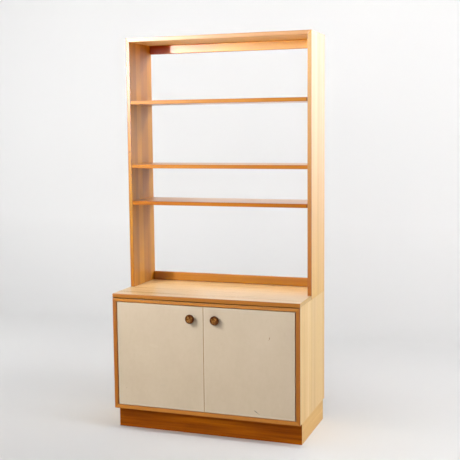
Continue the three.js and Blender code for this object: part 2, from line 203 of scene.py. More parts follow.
def backdrop_paper():
    """Matt paper, paler on the wall than on the floor, and clear from behind."""
    n = Nodes("backdrop_paper")
    place = n.place()
    tooth = n.noise(place, scale=PAPER_TOOTH, detail=2)
    height = n.remap(n.split(place)[2], 0.0, SWEEP_RADIUS, 0.0, 1.0)
    n.feed(n.shader, "Base Color", n.ramp(height, ((0.0, FLOOR_TONE), (1.0, WALL_TONE))))
    n.feed(n.shader, "Roughness", n.spread(tooth, 0.88, 0.94))
    n.shader.inputs["Specular IOR Level"].default_value = PAPER_SPECULAR
    distance = n.add("ShaderNodeVectorMath", {0: place}, operation="LENGTH").outputs["Value"]
    n.shader.inputs["Emission Color"].default_value = SURROUND_TONE
    n.feed(n.shader, "Emission Strength", n.remap(distance, GLOW_START, GLOW_END, 0.0, GLOW_STRENGTH))
    n.clear_from_behind()
    return n.material


def add_stage():
    profile = stage_profile()
    verts = [(side * STAGE_HALF_WIDTH, y, z) for y, z in profile for side in (-1, 1)]
    faces = [(2 * i, 2 * i + 1, 2 * i + 3, 2 * i + 2) for i in range(len(profile) - 1)]
    mesh = bpy.data.meshes.new("backdrop")
    mesh.from_pydata(verts, [], faces)
    mesh.shade_smooth()
    mesh.materials.append(backdrop_paper())
    backdrop = bpy.data.objects.new("backdrop", mesh)
    bpy.context.scene.collection.objects.link(backdrop)
    return backdrop


def add_light(name, place, target, size, power, reach):
    """One soft light. Its reach is what it lights: matt surfaces or glossy ones."""
    data = bpy.data.lights.new(name, "AREA")
    data.shape = "RECTANGLE"
    data.size, data.size_y = size
    data.energy = power
    light = bpy.data.objects.new(name, data)
    light.location = place
    aim = Vector(target) - Vector(place)
    light.rotation_euler = aim.to_track_quat("-Z", "Y").to_euler()
    light.visible_camera = False
    light.visible_glossy = reach != "matt"
    light.visible_diffuse = reach != "gloss"
    bpy.context.scene.collection.objects.link(light)
    return light


# Lights: name, place, target, size in metres, matt and gloss power in watts
LIGHTS = [
    ("key", (-1.12, -1.41, 1.80), (0, 0, 1.0), (0.08, 0.08), 27.5, 135),
    ("front_soft", (-0.6, -3.9, 2.35), (0, 0, 1.2), (1.4, 0.8), 0, 250),
    ("front_left", (-1.75, -3.9, 2.4), (0, 0, 1.3), (0.9, 0.7), 67, 0),
    ("front_high", (-1.6, -3.4, 3.4), (0, 0, 1.3), (0.9, 0.7), 20, 12),
    ("front_far", (1.0, -4.8, 2.7), (0, 0, 1.0), (2.0, 1.2), 28, 0),
    ("right", (3.2, -0.4, 1.9), (0.3, 0, 1.0), (1.4, 2.2), 48, 0),
    ("right_back", (2.7, 1.5, 2.0), (0.3, 0, 1.0), (1.5, 2.0), 0, 680),
    ("right_high", (2.0, 2.2, 3.2), (0.45, 0, 1.5), (1.2, 0.8), 0, 50),
    ("rim_high", (1.4, 2.1, 2.9), (0.45, 0, 1.7), (0.8, 0.8), 0, 60),
    ("back_high", (0.6, 1.9, 3.4), (0, 0.1, 1.2), (1.0, 0.6), 75, 0),
    ("left", (-3.2, 0.0, 1.8), (-1.2, 1.8, 1.2), (1.2, 1.6), 30, 12),
    ("rear_sheen", (-0.55, 2.4, 1.2), (0, 0, 0.65), (1.0, 0.5), 0, 1),
    ("wash_mid", (0.3, -0.6, 4.6), (0.3, 2.6, 1.6), (3.0, 1.0), 67, 0),
    ("wash_wide", (0.0, -0.6, 4.6), (0.0, 2.6, 1.6), (14.0, 1.0), 72, 0),
    ("wash_left", (-8.0, -0.6, 4.6), (-8.0, 2.6, 1.6), (6.0, 1.0), 10, 0),
    ("wash_right", (8.0, -0.6, 4.6), (8.0, 2.6, 1.6), (6.0, 1.0), 45, 0),
    ("wash_floor", (0.0, -8.0, 5.0), (0.0, -8.0, 0.0), (26.0, 9.0), 660, 0),
]

# Lights that leave the backdrop alone, and lights for the backdrop alone
OFF_THE_BACKDROP = ("key", "front_left", "front_high", "back_high")
BACKDROP_ONLY = ("wash_mid", "wash_wide", "wash_left", "wash_right", "wash_floor")

# Lights whose gloss leaves the level boards alone
OFF_THE_TOPS = ("front_soft", "right_back", "right_high", "rim_high")


def light_group(name, members, state):
    """What a light shines on: its members alone, or all but its members."""
    group = bpy.data.collections.new(name)
    for member in members:
        group.objects.link(member)
    for entry in group.collection_objects:
        entry.light_linking.link_state = state
    return group


def add_lights(backdrop):
    furniture = light_group("all_but_backdrop", [backdrop], "EXCLUDE")
    behind = light_group("backdrop_alone", [backdrop], "INCLUDE")
    for name, place, target, size, matt, gloss in LIGHTS:
        for reach, power in (("matt", matt), ("gloss", gloss)):
            if power:
                light = add_light(name + "_" + reach, place, target, size, power, reach)
                if name in OFF_THE_BACKDROP:
                    light.light_linking.receiver_collection = furniture
                if name in BACKDROP_ONLY:
                    light.light_linking.receiver_collection = behind
                    light.light_linking.blocker_collection = behind


def add_world():
    """A plain grey beyond the backdrop. The camera sees it, but it lights nothing."""
    world = bpy.data.worlds.new("studio")
    world.use_nodes = True
    world.node_tree.nodes["Background"].inputs["Color"].default_value = SURROUND_TONE
    world.cycles_visibility.diffuse = False
    world.cycles_visibility.glossy = False
    bpy.context.scene.world = world
    bpy.context.scene.view_settings.view_transform = "Standard"


add_lights(add_stage())
add_world()


# Woods: tones from dark to pale (linear red, green, blue), and what sets each look apart
WOODS = {
    # leaf is the width of one leaf of veneer, blush is the colour that some leaves lean to, and the shares
    # say how much leaves, streaks and figure change the colour
    "veneer": {
        "tones": ((0.53, 0.285, 0.055), (0.675, 0.405, 0.10), (0.79, 0.53, 0.17)),
        "blush": (0.69, 0.42, 0.15),
        "leaf": 78 * MM,
        "leaf_share": 0.16,
        "streak_share": 0.75,
        "figure_share": 0.10,
    },
    "worktop": {
        "tones": ((0.58, 0.35, 0.13), (0.665, 0.43, 0.18), (0.74, 0.51, 0.24)),
        "blush": (0.70, 0.45, 0.21),
        "leaf": 110 * MM,
        "leaf_share": 0.15,
        "streak_share": 0.2,
        "figure_share": 0.15,
    },
    "shelf": {
        "tones": ((0.50, 0.23, 0.015), (0.72, 0.39, 0.04), (0.88, 0.55, 0.09)),
        "blush": (0.74, 0.41, 0.07),
        "leaf": 120 * MM,
        "leaf_share": 0.25,
        "streak_share": 0.8,
        "figure_share": 0.25,
    },
    # The plinth's front and back: the sides' wood darkened and deepened, a painted shade for the shade that
    # the low front stands in
    "plinth": {
        "tones": ((0.16, 0.030, 0.0002), (0.325, 0.077, 0.0003), (0.51, 0.150, 0.001)),
        "blush": (0.38, 0.09, 0.001),
        "leaf": 200 * MM,
        "leaf_share": 0.1,
        "streak_share": 1.0,
        "figure_share": 0.35,
    },
    "door_edge": {
        "tones": ((0.31, 0.15, 0.05), (0.41, 0.215, 0.08), (0.51, 0.29, 0.12)),
        "blush": (0.42, 0.22, 0.09),
        "leaf": 200 * MM,
        "leaf_share": 0.1,
        "streak_share": 0.6,
        "figure_share": 0.25,
    },
    "bare": {
        "tones": ((0.50, 0.33, 0.18), (0.62, 0.44, 0.26), (0.72, 0.54, 0.35)),
        "blush": (0.62, 0.42, 0.27),
        "leaf": 60 * MM,
        "leaf_share": 0.2,
        "streak_share": 0.5,
        "figure_share": 0.3,
    },
    "backboard": {
        "tones": ((0.30, 0.16, 0.07), (0.38, 0.22, 0.10), (0.45, 0.28, 0.14)),
        "blush": (0.39, 0.23, 0.12),
        "leaf": 300 * MM,
        "leaf_share": 0.1,
        "streak_share": 0.3,
        "figure_share": 0.5,
    },
}

# Finishes: how the surface shines, and how far the grain stands out in it
LACQUER = {"ior": 1.36, "roughness": 0.42, "relief": 0.5}
THIN = {"ior": 1.30, "roughness": 0.42, "relief": 0.5}
POLISH = {"ior": 1.5, "roughness": 0.28, "relief": 0.12}
SHINE = {"ior": 1.37, "roughness": 0.42, "relief": 0.4}
SATIN = {"ior": 1.20, "roughness": 0.46, "relief": 0.5}
LEAN = {"ior": 1.12, "roughness": 0.5, "relief": 0.5}
BARE = {"ior": 1.3, "roughness": 0.62, "relief": 0.5}
ROUGHNESS_SPREAD = 0.08

# Lips of the boards, and the painted shade along their long edges
LIP_WIDTH = 4.5 * MM
REAR_LIP_WIDTH = 9 * MM
EDGE_WIDTH = 3.5 * MM
EDGE_STRENGTH = 0.8
ARRIS_SHADE_TINT = (0.80, 0.58, 0.30)

# Grain: which axes run along, across and through it, and the repeats of its layers per metre of these
AXES = {"X": (0, 1, 2), "Y": (1, 0, 2), "Z": (2, 1, 0)}
STREAKS = (1.1, 95, 95)
BROAD_STREAKS = (0.7, 16, 16)
FIBRES = (22, 850, 850)
FIGURE = (0.35, 4.2, 4.2)
PORES = (48, 1500, 1500)
BROAD_SHARE = 0.45
FIBRE_SHARE = 0.22
PORE_SHARE = 0.22
PORE_TONE_SHARE = 0.45
GRAIN_RELIEF = 0.06 * MM

# Leaves of veneer across a side's depth: where each starts, as a share from the front, and its tint
INNER_LEAVES = (
    (0.0, (0.97, 0.94, 0.85)),
    (0.16, (0.88, 0.84, 0.80)),
    (0.27, (1.12, 1.16, 1.30)),
    (0.48, (0.90, 0.84, 0.85)),
    (0.60, (0.98, 0.92, 0.96)),
    (0.79, (1.22, 1.26, 1.20)),
)
OUTER_LEAVES = (
    (0.0, (0.99, 0.98, 0.96)),
    (0.30, (1.03, 1.04, 1.06)),
    (0.44, (0.97, 0.96, 0.95)),
    (0.62, (1.02, 1.02, 1.0)),
    (0.91, (0.96, 0.92, 0.84)),
)
LEAVES = {
    "frame_side_left": INNER_LEAVES,
    "carcass_side_left": INNER_LEAVES,
    "frame_side_right": OUTER_LEAVES,
    "carcass_side_right": OUTER_LEAVES,
}

# The upper frame's sides carry painted light: paler and whiter towards their head, deeper and yellower
# towards their foot, as the lights fall on them. Tints of faces and front lips, from the foot up
FACE_PAINTED_LIGHT = (
    (0.0, (1.0, 1.04, 0.55)),
    (0.35, (0.98, 1.01, 0.80)),
    (0.8, (0.98, 0.98, 1.04)),
    (1.0, (0.98, 0.91, 1.06)),
)
LIP_PAINTED_LIGHT = {
    "frame_side_left": (
        (0.0, (0.97, 0.90, 0.60)),
        (0.35, (1.04, 1.17, 1.14)),
        (1.0, (0.98, 0.80, 1.2)),
    ),
    "frame_side_right": (
        (0.0, (0.76, 0.56, 0.15)),
        (0.35, (0.82, 0.74, 0.55)),
        (1.0, (1.04, 1.22, 1.15)),
    ),
}

# Marks on boards: centre x and z, half length and half width in metres, tilt in degrees, tone, strength
BOARD_MARKS = {
    # The upper rail is redder over its left half, tinting its painted highlight there, and darkest at its
    # left end, a painted shadow cast by the left side
    "back_rail_top": [
        (-0.3500, 1.7900, 0.3300, 0.3000, 0, (0.80, 0.20, 0.03), 0.55),
        (-0.4100, 1.7900, 0.1280, 0.0600, 0, (0.39, 0.045, 0.0005), 0.97),
    ],
    "carcass_bottom": [(0.3445, 0.1090, 0.0034, 0.0016, 75, (0.16, 0.06, 0.015), 0.8)],
    "frame_side_left": [(-0.4400, 1.2936, 0.0050, 0.0028, 80, (0.10, 0.04, 0.01), 0.9)],
    # Painted shade in the narrow gaps between these shelves' right ends and the side
    "shelf_upper": [(0.4283, 1.5265, 0.0110, 0.0026, 90, (0.10, 0.03, 0.005), 0.9)],
    "shelf_lower": [(0.4283, 1.0515, 0.0110, 0.0026, 90, (0.10, 0.03, 0.005), 0.9)],
}
MARK_RAGGEDNESS = 900


def veneer_leaf(n, width, leaf_width, seed):
    """Three random numbers for each leaf of veneer, side by side across the board."""
    inputs = {"W": n.times_plus(width, 1 / leaf_width, seed * 7.31), "Scale": 1.0, "Randomness": 0.55}
    cell = n.add("ShaderNodeTexVoronoi", inputs, voronoi_dimensions="1D")
    return n.split(cell.outputs["Color"])


def figure_wave(n, fibre_place, offset):
    """The long arches in the wood's figure."""
    inputs = {
        "Vector": n.stretched(fibre_place, FIGURE, offset),
        "Scale": 5.0,
        "Distortion": 5.5,
        "Detail": 2.5,
        "Detail Scale": 0.9,
        "Detail Roughness": 0.55,
    }
    wave = n.add("ShaderNodeTexWave", inputs, bands_direction="Y", wave_profile="SIN")
    return wave.outputs["Fac"]


def figured(n, look, grain, seed):
    """One board's grain: its colour, a streak that varies the gloss, and a height for the relief."""
    spec = WOODS[look]
    parts = n.split(n.place())
    along, across, through = (parts[i] for i in AXES[grain])
    width = n.times_plus(through, 1.0 if grain == "Z" else 0.6, across)
    leaf = veneer_leaf(n, width, spec["leaf"], seed)
    shift = n.math("MULTIPLY", leaf[1], 3.0)
    fibre_place = n.combine(n.math("ADD", along, shift), across, through)
    offset = (seed * 1.7, seed * 3.1, seed * 2.3)
    streak = n.noise(n.stretched(fibre_place, STREAKS, offset), detail=4, roughness=0.62)
    broad = n.noise(n.stretched(fibre_place, BROAD_STREAKS, offset), detail=2, roughness=0.5)
    fibre = n.noise(n.stretched(fibre_place, FIBRES, offset), detail=3, roughness=0.6)
    layers = (
        (streak, spec["streak_share"]),
        (broad, BROAD_SHARE),
        (figure_wave(n, fibre_place, offset), spec["figure_share"]),
        (fibre, FIBRE_SHARE),
    )
    value = n.times_plus(n.math("SUBTRACT", leaf[0], 0.5), spec["leaf_share"], 0.5)
    for layer, share in layers:
        value = n.math("ADD", value, n.math("MULTIPLY", n.math("SUBTRACT", layer, 0.5), share))
    low, middle, high = spec["tones"]
    colour = n.ramp(value, ((0.12, low), (0.5, middle), (0.88, high)))
    patch = n.remap(leaf[2], 0.35, 0.9, 0.0, 0.6)
    blush = n.math("MULTIPLY", patch, n.remap(broad, 0.35, 0.65, 0.4, 1.0))
    colour = n.mix(blush, colour, (*spec["blush"], 1))
    pores = n.noise(n.stretched(fibre_place, PORES, offset), detail=1)
    pore = n.remap(pores, 0.60, 0.72, 0.0, 1.0)
    pore_tone = (*(PORE_TONE_SHARE * c for c in low), 1)
    colour = n.mix(n.math("MULTIPLY", pore, PORE_SHARE), colour, pore_tone)
    return colour, streak, n.math("SUBTRACT", n.math("MULTIPLY", fibre, 0.5), pore)


def varnished(n, colour, streak, height, finish):
    """The material with its colour, a gloss that varies with the streaks, and the grain's relief."""
    relief = finish["relief"]
    spread = ROUGHNESS_SPREAD * relief
    dull, bright = finish["roughness"] + spread, finish["roughness"] - spread
    n.feed(n.shader, "Base Color", colour)
    n.feed(n.shader, "Roughness", n.spread(streak, dull, bright))
    n.shader.inputs["IOR"].default_value = finish["ior"]
    n.bump(height, GRAIN_RELIEF, relief)
    return n.material


def wood(name, look, grain, seed, finish):
    n = Nodes(name)
    return varnished(n, *figured(n, look, grain, seed), finish)


def times(n, colour, other):
    return n.mix(1.0, colour, other, "MULTIPLY")


def tinted(n, colour, tint):
    return times(n, colour, (*tint, 1))


def to_ends(n, value, low, high):
    return n.math("MINIMUM", n.math("SUBTRACT", value, low), n.math("SUBTRACT", high, value))


def stroke(n, x, z, centre_x, centre_z, half_length, half_width, tilt):
    """Mask of a mark with a ragged, tapering edge."""
    turn = math.radians(tilt)
    cos, sin = math.cos(turn), math.sin(turn)
    dx, dz = n.math("SUBTRACT", x, centre_x), n.math("SUBTRACT", z, centre_z)
    along = n.math("ADD", n.math("MULTIPLY", dx, cos), n.math("MULTIPLY", dz, sin))
    across = n.math("SUBTRACT", n.math("MULTIPLY", dz, cos), n.math("MULTIPLY", dx, sin))
    along, across = n.math("DIVIDE", along, half_length), n.math("DIVIDE", across, half_width)
    reach = n.math("ADD", n.math("MULTIPLY", along, along), n.math("MULTIPLY", across, across))
    ragged = n.noise(n.combine(x, 0.0, z), scale=MARK_RAGGEDNESS, detail=2)
    return n.remap(n.math("ADD", reach, ragged), 0.75, 1.5, 1.0, 0.0)


def marked(n, colour, place, marks):
    """A colour with marks worked over it."""
    for centre_x, centre_z, half_length, half_width, tilt, tone, strength in marks:
        mark = stroke(n, place[0], place[2], centre_x, centre_z, half_length, half_width, tilt)
        colour = n.mix(n.math("MULTIPLY", mark, strength), colour, (*tone, 1))
    return colour


def face_wood(n, board, colour, place):
    """The wood of a board's faces: its tint, its leaves of veneer and its painted light by height."""
    node, _, _, _, tint, _, _ = board
    low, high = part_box(node)
    face = tinted(n, colour, tint)
    if node in LEAVES:
        depth = n.remap(place[1], low.y, high.y, 0.0, 1.0)
        face = times(n, face, n.ramp(depth, LEAVES[node], "CONSTANT"))
    # Painted light by height on the upper frame's sides
    if node in LIP_PAINTED_LIGHT:
        height = n.remap(place[2], low.z, high.z, 0.0, 1.0)
        face = times(n, face, n.ramp(height, FACE_PAINTED_LIGHT))
    if node in OUTER_TINTS:
        outer = tinted(n, colour, OUTER_TINTS[node])
        outer = times(n, outer, n.ramp(depth, OUTER_LEAVES, "CONSTANT"))
        outside = n.math("LESS_THAN", place[0], (low.x + high.x) / 2)
        face = n.mix(outside, face, outer)
    return face


def with_lips(n, board, face, colour, place):
    """A board's face with its front and rear lips."""
    node, _, _, _, _, front, rear = board
    low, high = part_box(node)
    if front:
        lip = tinted(n, colour, front)
        # Painted light by height on the front lips of the upper frame's sides
        if node in LIP_PAINTED_LIGHT:
            height = n.remap(place[2], low.z, high.z, 0.0, 1.0)
            lip = times(n, lip, n.ramp(height, LIP_PAINTED_LIGHT[node]))
        inside = n.math("LESS_THAN", place[1], low.y + LIP_WIDTH)
        face = n.mix(inside, face, lip)
    if rear:
        inside = n.math("GREATER_THAN", place[1], high.y - REAR_LIP_WIDTH)
        face = n.mix(inside, face, tinted(n, colour, rear))
    return face


def shaded_arrises(n, board, colour, place):
    """A board's long arrises, darkened with painted shade."""
    low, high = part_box(board[0])
    across, through = AXES[board[2]][1:]
    corner = n.math(
        "MAXIMUM",
        to_ends(n, place[across], low[across], high[across]),
        to_ends(n, place[through], low[through], high[through]),
    )
    wear_and_shade = n.remap(corner, 0.0, EDGE_WIDTH, EDGE_STRENGTH, 0.0)
    return n.mix(wear_and_shade, colour, tinted(n, colour, ARRIS_SHADE_TINT))


def board_wood(name, board, seed, finish):
    """A board's own wood: leaves of veneer, lips of another tint, arrises darkened with painted shade, and
    marks.
    """
    node, look, grain = board[:3]
    n = Nodes(name)
    colour, streak, height = figured(n, look, grain, seed)
    place = n.split(n.place())
    stained = with_lips(n, board, face_wood(n, board, colour, place), colour, place)
    if node != "worktop":
        stained = shaded_arrises(n, board, stained, place)
    stained = marked(n, stained, place, BOARD_MARKS.get(node, ()))
    return varnished(n, stained, streak, height, finish)


# Metal and plastic: repeats of their grain per metre, and how deep it is
BRUSHED = (60, 2500, 2500)
CAST = (900, 900, 900)
SPECKLE = 1400
METAL_RELIEF = 0.02 * MM
PLASTIC_RELIEF = 0.05 * MM


def metal(name, colour, roughness, brushed, slot=0.0):
    """Metal with a patina and, where a slot's half width is given, a slot along Y painted dark: painted
    shade in place of the slot's depth.
    """
    n = Nodes(name)
    place = n.place()
    grain = n.noise(n.stretched(place, BRUSHED if brushed else CAST), detail=3)
    patina = n.noise(place, scale=160, detail=4, roughness=0.65)
    dull = tuple(c * 0.55 for c in colour)
    tone = n.ramp(patina, ((0.35, dull), (0.65, colour)))
    # The slot: painted shade, darker than the metal, for a slot that is not cut
    if slot:
        inside = n.math("LESS_THAN", n.math("ABSOLUTE", n.split(place)[0]), slot)
        tone = n.mix(inside, tone, (*(0.08 * c for c in colour), 1))
    n.feed(n.shader, "Base Color", tone)
    n.feed(n.shader, "Roughness", n.spread(grain, roughness - 0.08, roughness + 0.12))
    n.shader.inputs["Metallic"].default_value = 1.0
    n.bump(grain, METAL_RELIEF, 0.6)
    return n.material


def plastic(name, colour):
    n = Nodes(name)
    place = n.place()
    speckle = n.noise(place, scale=SPECKLE, detail=2)
    tint = n.noise(place, scale=90, detail=3)
    pale = tuple(c * 1.35 for c in colour)
    n.feed(n.shader, "Base Color", n.ramp(tint, ((0.3, colour), (0.75, pale))))
    n.feed(n.shader, "Roughness", n.spread(speckle, 0.42, 0.6))
    n.bump(speckle, PLASTIC_RELIEF, 0.7)
    return n.material


# Boards: every flat wooden part, copied from the frame with its sharp edges eased
ARRIS = 0.8 * MM
ROUND_ARRIS = 2.8 * MM
ROUNDED = ("worktop", "back_rail_top", "back_rail_bottom")
ROUNDED_ABOVE_ALONE = ("worktop",)
LEVEL = ("worktop", "shelf_lower", "shelf_middle", "shelf_upper", "frame_top")
SEAM_SHARE = 0.25
SHORTEST_EASED = 9 * MM
SHARP_ANGLE = math.radians(25)
FLAT_ANGLE = math.radians(1)
ARRIS_STEPS = 3
MERGE = 0.005 * MM
Y_AXIS, Z_AXIS = 1, 2
FACES_AXIS = 0.5
SQUARE_TO_AXIS = 0.01
bodies = frame["record"]["behaviour"]["bodies"]
body_of_node = {node: body for body, nodes in bodies.items() for node in nodes}
slot_of_node = {part["node"]: part["material_slot"] for part in frame["record"]["subparts"]}


def is_mitre(face):
    """Whether a face stands askew to two axes, as the mitred ends do."""
    sizes = sorted(abs(c) for c in face.normal)
    return sizes[0] < SQUARE_TO_AXIS and sizes[1] > FACES_AXIS


def weigh_arrises(bm, node, arris):
    """How far each long sharp edge is eased, as a share of the board's arris."""
    layers = bm.edges.layers.float
    weight = layers.get("bevel_weight_edge") or layers.new("bevel_weight_edge")
    top = max(v.co.z for v in bm.verts)
    for edge in bm.edges:
        if len(edge.link_faces) == 2 and edge.calc_length() > SHORTEST_EASED:
            if edge.calc_face_angle() > SHARP_ANGLE:
                crisp = node in ROUNDED_ABOVE_ALONE and min(v.co.z for v in edge.verts) < top - MERGE
                full = ARRIS / arris if crisp else 1.0
                edge[weight] = SEAM_SHARE if any(is_mitre(f) for f in edge.link_faces) else full


def ease_arrises(piece, arris):
    bevel = piece.modifiers.new("arris", "BEVEL")
    bevel.limit_method = "WEIGHT"
    bevel.width = arris
    bevel.segments = ARRIS_STEPS
    bevel.use_clamp_overlap = False
    bevel.harden_normals = True
    smooth = piece.modifiers.new("normals", "WEIGHTED_NORMAL")
    smooth.keep_sharp = True


def eased_copy(node, name, arris):
    """A copy of a CAD board with its facets joined into flat faces and its arrises eased."""
    mesh = frame["nodes"][node].data.copy()
    mesh.name = name
    mesh.materials.clear()
    bm = bmesh.new()
    bm.from_mesh(mesh)
    bmesh.ops.remove_doubles(bm, verts=bm.verts, dist=MERGE)
    bmesh.ops.dissolve_limit(bm, angle_limit=FLAT_ANGLE, verts=bm.verts, edges=bm.edges)
    weigh_arrises(bm, node, arris)
    bm.to_mesh(mesh)
    bm.free()
    mesh.shade_smooth()
    piece = bpy.data.objects.new(name, mesh)
    bpy.context.scene.collection.objects.link(piece)
    ease_arrises(piece, arris)
    return piece


def second_material_on_edges(piece, axis):
    """The first material stays on the faces across this axis, and the second goes on the others."""
    for face in piece.data.polygons:
        face.material_index = 0 if abs(face.normal[axis]) > FACES_AXIS else 1


def finish_piece(piece, node, hides=True):
    """A piece rides on its node's body, and most pieces hide the node."""
    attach(piece, body_of_node[node])
    if hides:
        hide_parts(node)


# Tints that set boards of one wood apart
PLAIN = (1.0, 1.0, 1.0)
CARCASS_LIP = (0.54, 0.275, 0.006)
CARCASS_RAIL_LIP = (0.71, 0.43, 0.105)
LEFT_FRAME_LIP = (0.62, 0.36, 0.015)
RIGHT_FRAME_LIP = (0.84, 0.55, 0.02)
# The left sides' inner faces, deeper and more orange than their outer faces: painted shade of the frame's
# inside
SHADED_INNER_SIDE = (0.83, 0.565, 0.09)
TOP_LIP = (0.98, 0.80, 1.2)
REAR_LIP = (1.12, 0.80, 0.35)
SHELF_TOP = (0.57, 0.40, 0.42)
# Shelf lips, paler and whiter the higher the shelf: painted light, as the light falls off down the front
LOWER_SHELF_LIP = (0.62, 0.34, 0.05)
MIDDLE_SHELF_LIP = (0.68, 0.43, 0.2)
UPPER_SHELF_LIP = (0.69, 0.46, 0.3)
WORKTOP_LIP = (0.56, 0.31, 0.10)
# The upper rail's own tone, lightened by a painted highlight of the key light along it
RAIL_TOP = (1.25, 1.20, 0.6)
RAIL_BOTTOM = (0.63, 0.43, 0.01)
PLINTH_SIDE = (1.14, 1.08, 1.02)
FRAME_RIGHT = (1.10, 1.00, 1.52)
CARCASS_RIGHT = (1.18, 1.28, 1.74)
TOP_UNDER = (1.46, 1.45, 1.38)
RAIL_REAR = (0.85, 0.85, 1.8)

# Outer faces of the left sides, paler than their inner faces, which carry painted shade
OUTER_TINTS = {"frame_side_left": (1.07, 1.17, 1.95), "carcass_side_left": (1.22, 1.31, 2.05)}

# Boards: node, look, grain axis, finish, and the tints of faces, front lip and rear lip
BOARDS = [
    ("carcass_side_left", "veneer", "Z", LACQUER, SHADED_INNER_SIDE, CARCASS_LIP, REAR_LIP),
    ("carcass_side_right", "veneer", "Z", LACQUER, CARCASS_RIGHT, CARCASS_LIP, REAR_LIP),
    ("carcass_top", "veneer", "X", LACQUER, PLAIN, CARCASS_RAIL_LIP, None),
    ("carcass_bottom", "veneer", "X", LACQUER, PLAIN, CARCASS_RAIL_LIP, None),
    ("frame_side_left", "veneer", "Z", THIN, SHADED_INNER_SIDE, LEFT_FRAME_LIP, REAR_LIP),
    ("frame_side_right", "veneer", "Z", LACQUER, FRAME_RIGHT, RIGHT_FRAME_LIP, REAR_LIP),
    ("frame_top", "veneer", "X", LACQUER, TOP_UNDER, TOP_LIP, REAR_LIP),
    ("back_rail_top", "shelf", "X", SHINE, RAIL_TOP, None, RAIL_REAR),
    ("back_rail_bottom", "shelf", "X", THIN, RAIL_BOTTOM, None, None),
    ("worktop", "worktop", "X", POLISH, PLAIN, WORKTOP_LIP, None),
    ("shelf_lower", "shelf", "X", POLISH, SHELF_TOP, LOWER_SHELF_LIP, None),
    ("shelf_middle", "shelf", "X", POLISH, SHELF_TOP, MIDDLE_SHELF_LIP, None),
    ("shelf_upper", "shelf", "X", POLISH, SHELF_TOP, UPPER_SHELF_LIP, None),
    ("inner_shelf", "shelf", "X", POLISH, SHELF_TOP, LOWER_SHELF_LIP, None),
    # The plinth's front and back take the painted-shade plinth wood; its sides keep the veneer
    ("plinth_front", "plinth", "X", LEAN, PLAIN, None, None),
    ("plinth_back", "plinth", "X", LEAN, PLAIN, None, None),
    ("plinth_left", "veneer", "Y", LACQUER, PLINTH_SIDE, None, None),
    ("plinth_right", "veneer", "Y", LACQUER, PLINTH_SIDE, None, None),
    ("carcass_back", "backboard", "X", BARE, PLAIN, None, None),
    ("plinth_block_left", "bare", "Z", BARE, PLAIN, None, None),
    ("plinth_block_right", "bare", "Z", BARE, PLAIN, None, None),
]


def add_boards():
    """Every board in its wood. The polished ones have satin edges."""
    for seed, board in enumerate(BOARDS, start=1):
        node, _, _, finish = board[:4]
        arris = ROUND_ARRIS if node in ROUNDED else ARRIS
        piece = eased_copy(node, node + "_board", arris)
        piece.data.materials.append(board_wood(node + "_wood", board, seed, finish))
        if finish is POLISH:
            piece.data.materials.append(board_wood(node + "_lip_wood", board, seed, SATIN))
            second_material_on_edges(piece, Z_AXIS)
        finish_piece(piece, node)


add_boards()


def keep_glare_off_tops():
    """The lights that give the upright faces their sheen would glare on the level boards."""
    boards = [bpy.data.objects[node + "_board"] for node in LEVEL]
    level = light_group("all_but_level_boards", boards, "EXCLUDE")
    for name in OFF_THE_TOPS:
        bpy.data.objects[name + "_gloss"].light_linking.receiver_collection = level


keep_glare_off_tops()


# Doors: a painted core in four painted lips, whose outer edges are bare wood
LIPPING = 9 * MM
LIP_GROOVE = 0.25 * MM
WORN_EDGE = 1.1 * MM
DOOR_ARRIS = 1.0 * MM
PAINT = (0.545, 0.434, 0.304)
PAINT_PALE = (0.57, 0.458, 0.326)
PAINT_DULL = (0.52, 0.410, 0.283)
PAINT_LIP = (0.585, 0.472, 0.338)
SEAM_TONE = (0.42, 0.315, 0.205)
WORN_TONE = (0.48, 0.335, 0.19)

# Paint: repeats of its layers per metre, and how deep its texture is
CLOUDS = (7, 7, 5)
MOTTLE = (60, 60, 45)
BRUSH_MARKS = (420, 420, 6)
PEEL = 520
PAINT_RELIEF = 0.05 * MM

# Marks on the doors' faces, in the form of the marks on boards
DOOR_MARKS = {
    "left": [
        (-0.3876, 0.2010, 0.0040, 0.0032, 80, (0.36, 0.29, 0.20), 0.45),
        (-0.2007, 0.2289, 0.0240, 0.0036, 3, (0.48, 0.40, 0.29), 0.35),
        (-0.2450, 0.4100, 0.0300, 0.0100, -12, (0.60, 0.50, 0.36), 0.25),
    ],
    "right": [
        (0.3110, 0.4823, 0.0075, 0.0019, 80, (0.21, 0.085, 0.035), 0.85),
        (0.3080, 0.4740, 0.0030, 0.0016, 75, (0.36, 0.21, 0.12), 0.6),
        (0.2469, 0.1453, 0.0135, 0.0020, -35, (0.055, 0.085, 0.09), 0.9),
        (0.2600, 0.1365, 0.0070, 0.0013, -28, (0.16, 0.18, 0.17), 0.6),
    ],
}


def joint(n, distance):
    """Mask of the fine groove where a lip meets the core, by the distance from the door's edge."""
    inputs = {0: distance, 1: LIPPING, 2: LIP_GROOVE}
    return n.add("ShaderNodeMath", inputs, operation="COMPARE").outputs[0]


def lip_joints(n, to_side, to_end):
    """Mask of all four lips' joints. The side lips run through, and the end lips lie between them."""
    between = n.math("GREATER_THAN", to_side, LIPPING)
    return n.math("MAXIMUM", joint(n, to_side), n.math("MULTIPLY", joint(n, to_end), between))


